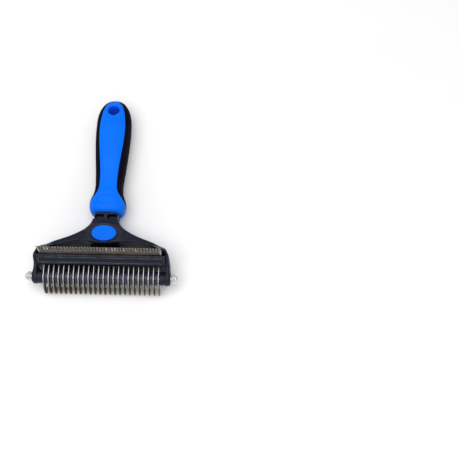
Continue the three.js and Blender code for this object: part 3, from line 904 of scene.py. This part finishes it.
def nut_mesh(side, face):
    """A cap nut that seats at X = face, with its dome towards side."""
    flat, length, collar = 7.0, 5.2, 2.8
    outer = [(0.0, 3.45, 1), (0.12, 3.62, 1), (0.35, 3.85, 1), (0.6, 4.2, 1), (collar - 0.75, 4.2, 1),
             (collar - 0.42, 3.9, 1), (collar - 0.15, 3.6, 1), (collar, 3.4, 1), (collar + 0.12, 3.32)]
    dome = [(collar + 0.12 + (length - collar - 0.12) * math.sin(t), 3.32 * math.cos(t) ** 0.92)
            for t in np.linspace(0.12, math.pi / 2 - 1e-4, 16)]
    dome[-1] = (length, 0.0)
    bore = [(length - 1.3, 0.0), (length - 1.1, ROD_R + 0.1), (0.5, ROD_R + 0.1), (0.1, ROD_R + 0.55),
            (0.0, ROD_R + 0.7)]
    profile = [(face + side * e[0], *e[1:]) for e in bore + outer + dome]
    return mesh_of("nut", lathe_x(profile, 96, hexagon=flat))


for word, side in (("left", -1), ("right", 1)):
    lo, hi = box_mm(f"cap_nut_{word}")
    face = lo.x if side > 0 else hi.x
    piece(f"nut_{word}", nut_mesh(side, face), NUT_METAL, f"{word}_nut",
          [f"cap_nut_{word}"], sharp=28)
    lo, hi = box_mm(f"washer_{word}")
    ring = ring_mesh("washer", hi.x - lo.x, (hi.z - lo.z) / 2, BORE_R, 0.14, 56)
    piece(f"ring_{word}", ring, NUT_METAL, f"{word}_washer", [f"washer_{word}"],
          at=((lo.x + hi.x) / 2, 0, 0), sharp=50)


def screw_mesh(x, z, y0, y1):
    """A pan-head screw along Y, with a cross recess in its head."""
    profile = [(y0, 0.0), (y0, 1.1), (y0 + 0.4, 1.5), (y1 - 1.9, 1.5), (y1 - 1.8, 1.6),
               (y1 - 1.8, 2.65), (y1 - 1.6, 2.8), (y1 - 0.95, 2.8), (y1 - 0.5, 2.62),
               (y1 - 0.2, 2.2), (y1 - 0.05, 1.5), (y1, 0.7), (y1, 0.0)]
    rows = [[(x + r * math.cos(a), y, z + r * math.sin(a)) for a in round_turn(40)]
            for y, r in profile]
    body = mesh_of("screw", skin(rows))
    corners = ((-1, -1), (1, -1), (1, 1), (-1, 1))
    arms = []
    for w, h in ((1.5, 0.32), (0.32, 1.5)):
        ends = [[(x + a * w * s, y, z + b * h * s) for a, b in corners]
                for y, s in ((y1 - 1.0, 0.55), (y1 + 0.4, 1.0))]
        arms.append(mesh_of("tool", skin(ends, caps=(True, True))))
    return cut(body, *arms)


for word in ("left", "right"):
    lo, hi = box_mm(f"clamp_screw_{word}")
    mesh = screw_mesh((lo.x + hi.x) / 2, (lo.z + hi.z) / 2, lo.y, hi.y)
    piece(f"screw_{word}", mesh, ROD_STEEL, "comb", [f"clamp_screw_{word}"], sharp=35)


# ---- table, light and camera -----------------------------------------------------

paper = Finish("table_top", Specular_IOR_Level=0.3)
paper.colour(paper.ramp(
    paper.noise(9, detail=3), (0.3, (0.94, 0.94, 0.945)), (0.7, (0.965, 0.965, 0.97))))
paper.roughness(paper.spread(paper.noise(60), 0.55, 0.7))
bm = bmesh.new()
bmesh.ops.create_grid(bm, x_segments=8, y_segments=8, size=3.0)
table = mesh_from(bm, "table")
table.materials.append(paper.material)
floor = placed("floor", table)


def area_light(name, at, target, width, height, power):
    light = bpy.data.lights.new(name, "AREA")
    light.shape, light.size, light.size_y, light.energy = "ELLIPSE", width, height, power
    thing = placed(name, light)
    thing.location = at
    thing.rotation_mode = "QUATERNION"
    thing.rotation_quaternion = (Vector(target) - Vector(at)).to_track_quat("-Z", "Y")


area_light("softbox", (-0.15, -0.2, 1.2), (0, 0, 0), 1.4, 1.4, 9.5)
area_light("front_strip", (0.1, -1.05, 0.55), (0, 0, 0.02), 1.5, 0.16, 1.7)

world = bpy.data.worlds.new("studio")
bpy.context.scene.world = world
world.use_nodes = True
world.node_tree.nodes["Background"].inputs["Color"].default_value = (1.0, 1.0, 1.0, 1)
world.node_tree.nodes["Background"].inputs["Strength"].default_value = 0.62
bpy.context.scene.view_settings.view_transform = "Standard"

AZIMUTH, ELEVATION, ROLL = -0.2, 68.81, 0.99  # of the camera, in degrees

lens = bpy.data.cameras.new("camera")
lens.sensor_width = 36.0
lens.lens = 64.04
camera = placed("camera", lens)
camera.location = (0.1025, -0.2747, 0.642)
camera.rotation_mode = "QUATERNION"
camera.rotation_quaternion = (
    Matrix.Rotation(math.radians(-AZIMUTH), 3, "Z")
    @ Matrix.Rotation(math.radians(90 - ELEVATION), 3, "X")
    @ Matrix.Rotation(math.radians(ROLL), 3, "Z")).to_quaternion()
bpy.context.scene.camera = camera
